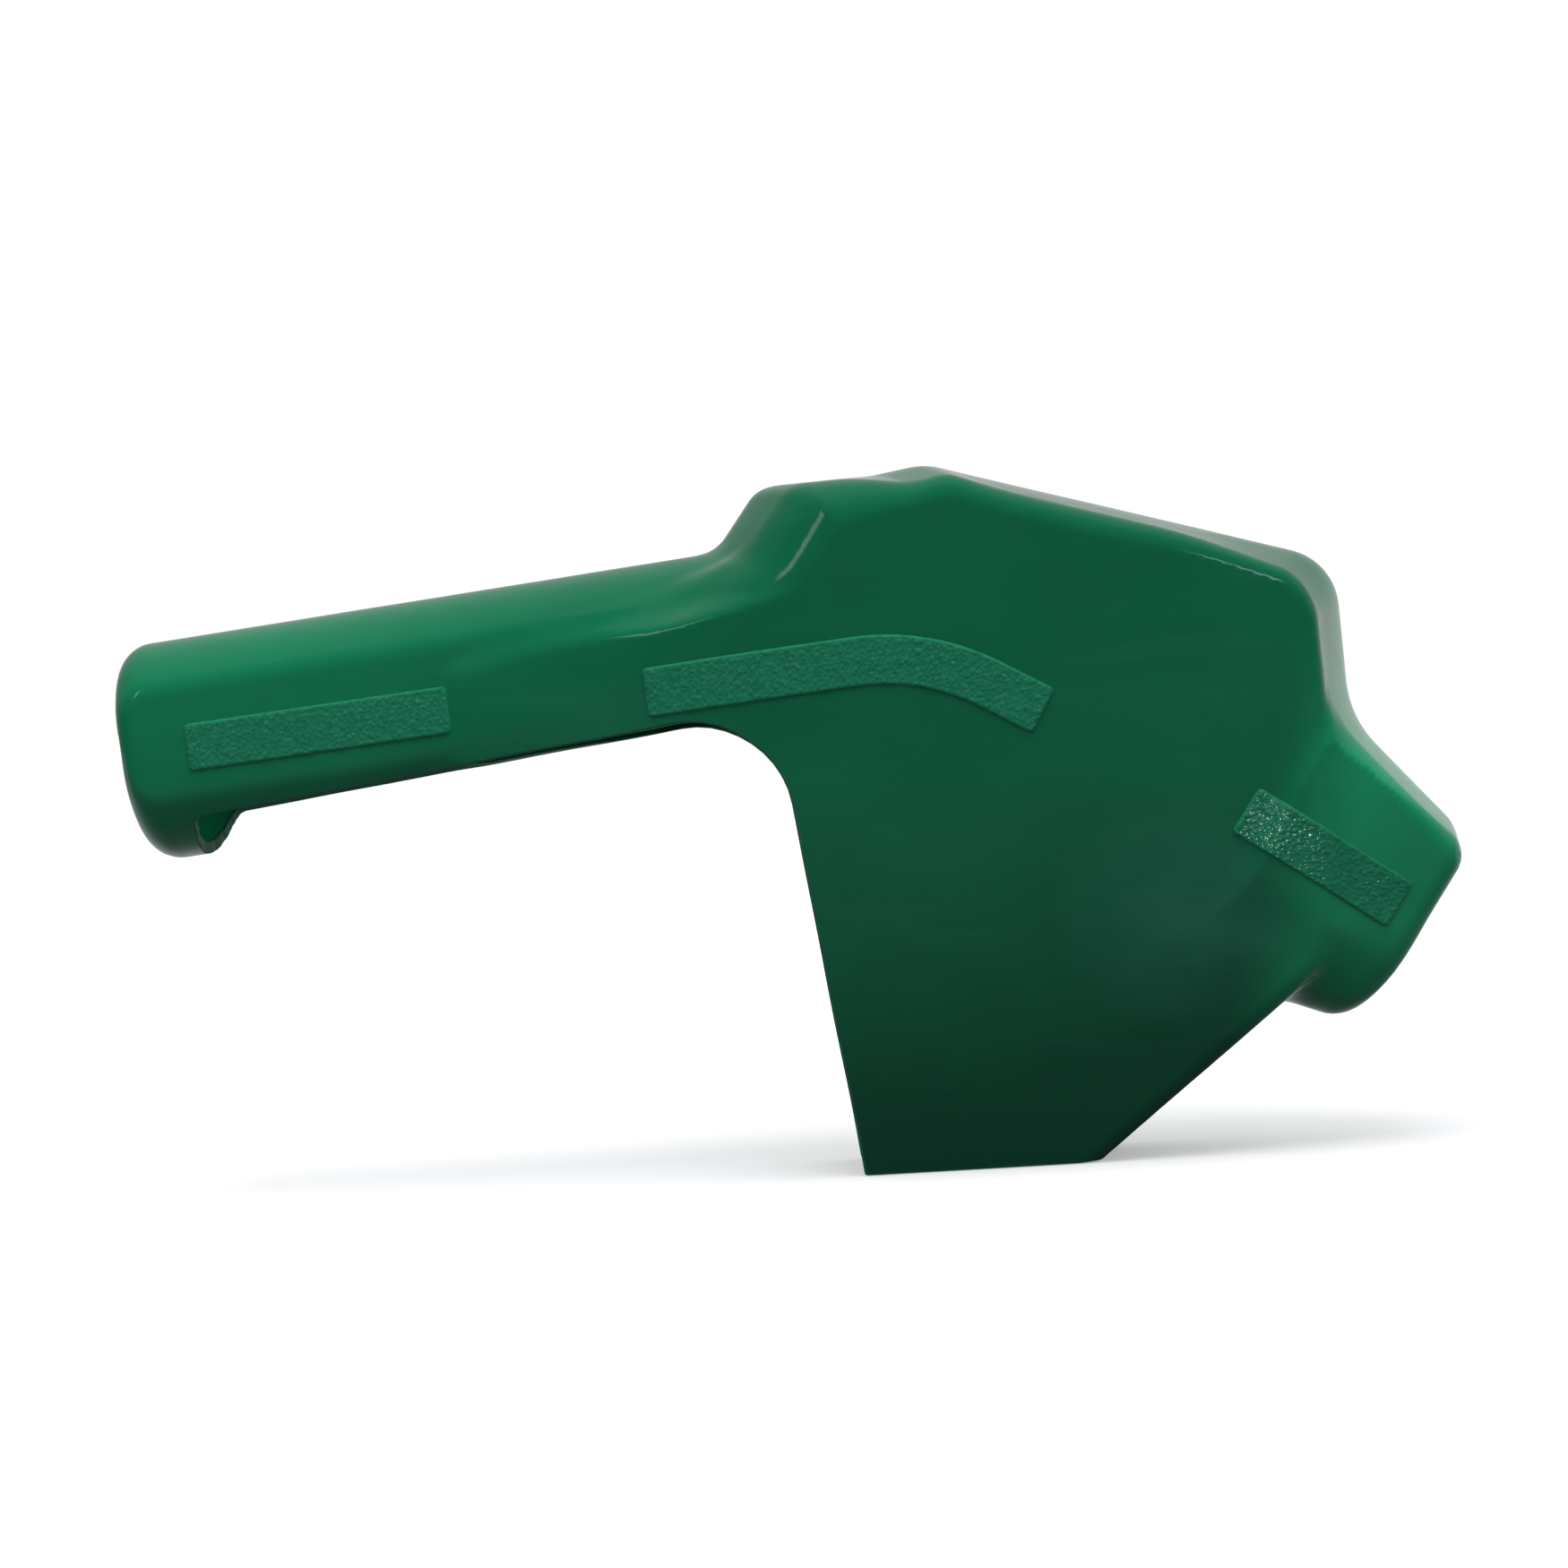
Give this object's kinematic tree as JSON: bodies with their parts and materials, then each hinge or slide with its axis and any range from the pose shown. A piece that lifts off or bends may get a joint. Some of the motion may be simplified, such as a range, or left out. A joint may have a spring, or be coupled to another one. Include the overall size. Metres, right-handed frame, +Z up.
{
  "type": "fuel nozzle scuff guard",
  "caption": "Dip-moulded vinyl jacket of a fuel nozzle: open-bottomed grip with a hose-end ring, wide body, skirt and spout collar, with pebbled grip strips on both sides.",
  "frame": {"origin": "centre of the hose opening, on the outer face of the hose-end ring", "axes": "+X level, from the hose end towards the spout; +Z up when the guard stands on the skirt's lower edge; Y across, with Y = 0 the plane of symmetry"},
  "size_m": [0.2791, 0.0592, 0.1463],
  "materials": {
    "vinyl": "glossy dip-moulded vinyl",
    "pebbled_vinyl": "pebble-grained vinyl with a soft sheen"
  },
  "bodies": {
    "root": {"guard_body": "vinyl", "grip_strip_left": "pebbled_vinyl", "flank_strip_left": "pebbled_vinyl", "collar_strip_left": "pebbled_vinyl", "grip_strip_right": "pebbled_vinyl", "flank_strip_right": "pebbled_vinyl", "collar_strip_right": "pebbled_vinyl"}
  },
  "joints": []
}
